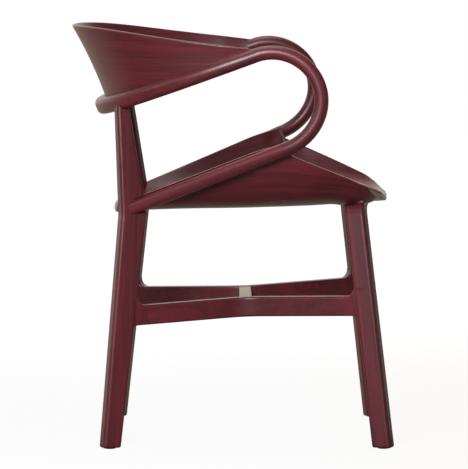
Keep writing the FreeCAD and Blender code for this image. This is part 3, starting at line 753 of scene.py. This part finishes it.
def seat_ring(share):
    """One ring round the seat at a share of its length: over its top and back under it."""
    points, places = [], []
    columns = [2 * index / SEAT_COLUMNS - 1 for index in range(SEAT_COLUMNS + 1)]
    for under, order in ((False, columns), (True, reversed(columns))):
        for across in order:
            x, y, z, t = seat_point(share, across, under)
            aside = math.copysign(MAP_TURN_SHARE * t + MAP_SPREAD_SHARE * x, across)
            points.append(Vector((math.copysign(x, across), y, z)))
            places.append((y, aside + (UNDER_LEAF_SHIFT if under else 0)))
    return points, places


def seat_shares():
    """Shares of the seat's length at which it has rings."""
    length = SEAT_REAR + SEAT_FRONT
    runs = list(REAR_LIP_RINGS)
    for start, end, count in zip(SEAT_STOPS, SEAT_STOPS[1:], SEAT_STOP_RINGS):
        runs += [mix(start, end, index / count) for index in range(count)]
    runs += [mix(SEAT_STOPS[-1], length, 1 - (1 - index / NOSE_RINGS) ** 2)
             for index in range(NOSE_RINGS + 1)]
    return [run / length for run in runs]


def seat_shell(material):
    """Dished moulded sheet with a wing at each front corner."""
    rows, maps = zip(*(seat_ring(share) for share in seat_shares()))
    piece = sheet_object("seat_shell_moulded", rows, maps, material)
    return soften_edges(piece, EDGE_ROUNDING)


# Every piece gets its finish

for side, turn in (("left", 1), ("right", -1)):
    flip = Matrix.Diagonal((turn, 1, 1))
    seed = 3.0 + turn
    upper_joint = (RAIL_BACK, ARM_START)
    lower_joint = (flip @ SIDE_AXIS, flip @ SIDE_FRONT)
    front_grain = straight_grain(flip @ (FRONT_KNEE - FRONT_FOOT), seed)
    rear_grain = straight_grain(flip @ (REAR_TOP - REAR_FOOT), seed + 5)
    stretcher_grain = straight_grain(LENGTHWAYS, seed + 9)
    side_grain = straight_grain(flip @ SIDE_AXIS, seed + 13)
    bend_grain = bent_grain(BEND_CENTRE, -RAIL_BACK, RAIL_UP, ACROSS, BEND_RADIUS, seed + 17)
    for name, grain, richness, joints in (
            ("front_leg", front_grain, 1.0, ()),
            ("rear_leg", rear_grain, 1.0, ()),
            ("stretcher", stretcher_grain, 1.0, ()),
            ("side_rail", side_grain, 0.8, (lower_joint,)),
            ("arm_bend", bend_grain, 0.8, (upper_joint, lower_joint))):
        wood = stained(name + "_wood_" + side, grain, richness, joints)
        dress(nodes[name + "_" + side], wood)

rail_grain = bent_grain(ARM_START, RAIL_BACK, ACROSS, RAIL_UP, radius=0.27, seed=31.0)
rail_wood = stained("back_rail_wood", rail_grain, richness=1.2, joints=((RAIL_BACK, ARM_START),))
dress(nodes["back_rail"], rail_wood)
dress(nodes["cross_bar"], brushed_metal("brushed_metal"))

beech = plain_speckled("raw_beech", colour(196, 160, 118), colour(222, 190, 150),
                       roughness=0.55, metallic=0.0, scale=60.0)
zinc = plain_speckled("zinc_steel", colour(150, 152, 156), colour(190, 192, 196),
                      roughness=0.3, metallic=1.0, scale=300.0)
nylon = plain_speckled("glide_nylon", colour(44, 42, 42), colour(60, 57, 56),
                       roughness=0.45, metallic=0.0, scale=700.0)
for name, node in nodes.items():
    for word, material in (("dowel", beech), ("tenon", beech), ("stud", zinc), ("glide", nylon)):
        if word in name:
            dress(node, material)

shell_wood = stained("back_shell_veneer", sheet_grain(seed=41.0), richness=1.1)
seat_wood = stained("seat_veneer", sheet_grain(seed=47.0), richness=1.3)
for piece, node in ((back_shell(shell_wood), "back_shell"), (seat_shell(seat_wood), "seat_shell")):
    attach(piece, "root")
    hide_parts(node)


# Studio: pale floor, soft lamps and a white backdrop behind the chair, which is on its +X side

FLOOR_HALF_SIZE = 9
PAPER = (0.42, 0.41, 0.39, 1)
# Colour of the painted warm pool of light on the floor in front of the chair
PAINTED_POOL_WHITE = colour(254, 249, 240)
CLEAN_WHITE = colour(254, 254, 254)
WARM_REFLECTION = (1.0, 0.8, 0.62, 1)
REFLECTED_SHARE = 0.5
FLOOR_GLOW = 1.07
NEAR_GLOW_SHARE = 0.88
WARM_BACKDROP = (1.0, 0.93, 0.82, 1)
PURE_WHITE = (1, 1, 1, 1)
ROOM_LIGHT = 0.05
BACKDROP_LIGHT = 0.7
COOL_LAMP = (0.93, 0.96, 1.0)
PLAIN_LAMP = (1, 1, 1)


def ray_kinds(tree, *kinds):
    """A wire for each kind of ray, 1 where the ray is of that kind."""
    path = tree.nodes.new("ShaderNodeLightPath")
    return [Wire(path.outputs[kind]) for kind in kinds]


def floor_material():
    """Paper that the chair's shadow falls on: white to look at, with a painted warm pool of light
    in front of the chair; warm and dimmer reflected.
    """
    material, tree, point = new_material("studio_floor")
    camera_ray, glossy_ray = ray_kinds(tree, "Is Camera Ray", "Is Glossy Ray")
    away = point.along((1, 0, 0))
    ahead = point.along((0, -1, 0))
    far = away.span(0.2, 2.6)
    behind = away.span(-0.4, 0.7)
    # Painted warm pool of light on the floor in front of the chair (its -Y side), fading to clean
    # white farther away
    painted_warm_pool = ahead.span(0.1, 0.9) * (1 - ahead.span(1.2, 2.4))
    tint = (far + (1 - far) * (1 - painted_warm_pool)).blend(PAINTED_POOL_WHITE, CLEAN_WHITE)
    bright = camera_ray + (1 - camera_ray) * behind * REFLECTED_SHARE
    matt = add_node(tree, "ShaderNodeBsdfDiffuse", None, {"Color": PAPER})
    glow = add_node(tree, "ShaderNodeEmission", None,
                    {"Color": camera_ray.blend(WARM_REFLECTION, tint),
                     "Strength": FLOOR_GLOW * bright})
    seen = camera_ray.either(glossy_ray)
    share = seen * (NEAR_GLOW_SHARE + far * (1 - NEAR_GLOW_SHARE))
    surface = add_node(tree, "ShaderNodeMixShader", None, {0: share, 1: matt, 2: glow})
    end_tree(tree, "ShaderNodeOutputMaterial", surface)
    return material


def pale_floor():
    half = FLOOR_HALF_SIZE
    mesh = bpy.data.meshes.new("studio_floor")
    corners = [(-half, -half, 0), (half, -half, 0), (half, half, 0), (-half, half, 0)]
    mesh.from_pydata(corners, [], [(0, 1, 2, 3)])
    mesh.materials.append(floor_material())
    piece = bpy.data.objects.new("studio_floor", mesh)
    bpy.context.scene.collection.objects.link(piece)
    return piece


def soft_lamp(name, place, aim_height, size, power, tint):
    lamp = bpy.data.lights.new(name, "AREA")
    lamp.color = tint
    lamp.shape = "DISK"
    lamp.size = size
    lamp.energy = power
    holder = bpy.data.objects.new(name, lamp)
    holder.location = place
    aim = Vector((0, 0, aim_height)) - Vector(place)
    holder.rotation_euler = aim.to_track_quat("-Z", "Y").to_euler()
    bpy.context.scene.collection.objects.link(holder)


def white_surroundings():
    """White to look at; a warm backdrop behind the chair lights it and shows in its lacquer."""
    world = bpy.data.worlds.new("studio")
    world.use_nodes = True
    bpy.context.scene.world = world
    tree = world.node_tree
    tree.nodes.clear()
    camera_ray, glossy_ray, clear_ray = ray_kinds(tree, "Is Camera Ray", "Is Glossy Ray",
                                                  "Is Transmission Ray")
    direct = camera_ray.either(clear_ray)
    direction = add_node(tree, "ShaderNodeTexCoord", None, None, "Generated")
    behind = direction.along((1, 0, 0)).span(0.0, 0.8)
    not_ahead = direction.along((0, 1, 0)).span(-0.7, -0.3)
    backdrop = behind * not_ahead
    shown = direct.either(glossy_ray * backdrop)
    room = ROOM_LIGHT + backdrop * BACKDROP_LIGHT
    air = add_node(tree, "ShaderNodeBackground", None,
                   {"Color": direct.blend(WARM_BACKDROP, PURE_WHITE),
                    "Strength": room + shown * (1.0 - room)})
    end_tree(tree, "ShaderNodeOutputWorld", air)


floor = pale_floor()
soft_lamp("lamp_key", (-2.2, 0.45, 1.4), aim_height=0.55, size=0.9, power=54, tint=COOL_LAMP)
soft_lamp("lamp_left", (-1.2, 3.4, 1.8), aim_height=0.45, size=2.0, power=14, tint=COOL_LAMP)
soft_lamp("lamp_above", (0.2, 0.2, 3.4), aim_height=0.4, size=1.8, power=22, tint=PLAIN_LAMP)
soft_lamp("lamp_right_fill", (-2.0, -4.2, 1.6), aim_height=0.45, size=2.2, power=4,
          tint=PLAIN_LAMP)
white_surroundings()

# The photograph's viewing angle: from the chair's right side, tilted a little down

CAMERA_PLACE = Vector((-7.0, 0.0149, 0.9776))
CAMERA_PITCH = math.radians(4.94)
CAMERA_YAW = math.radians(-0.168)
CAMERA_LENS = 288.7
CAMERA_SENSOR = 36

forward = Vector((math.cos(CAMERA_PITCH) * math.cos(CAMERA_YAW),
                  math.cos(CAMERA_PITCH) * math.sin(CAMERA_YAW), -math.sin(CAMERA_PITCH)))
right = Vector((math.sin(CAMERA_YAW), -math.cos(CAMERA_YAW), 0))
up = right.cross(forward)
lens = bpy.data.cameras.new("camera")
lens.sensor_fit = "HORIZONTAL"
lens.sensor_width = CAMERA_SENSOR
lens.lens = CAMERA_LENS
camera = bpy.data.objects.new("camera", lens)
camera.matrix_world = Matrix((right, up, -forward)).transposed().to_4x4()
camera.location = CAMERA_PLACE
bpy.context.scene.collection.objects.link(camera)
bpy.context.scene.camera = camera
bpy.context.scene.view_settings.view_transform = "Standard"
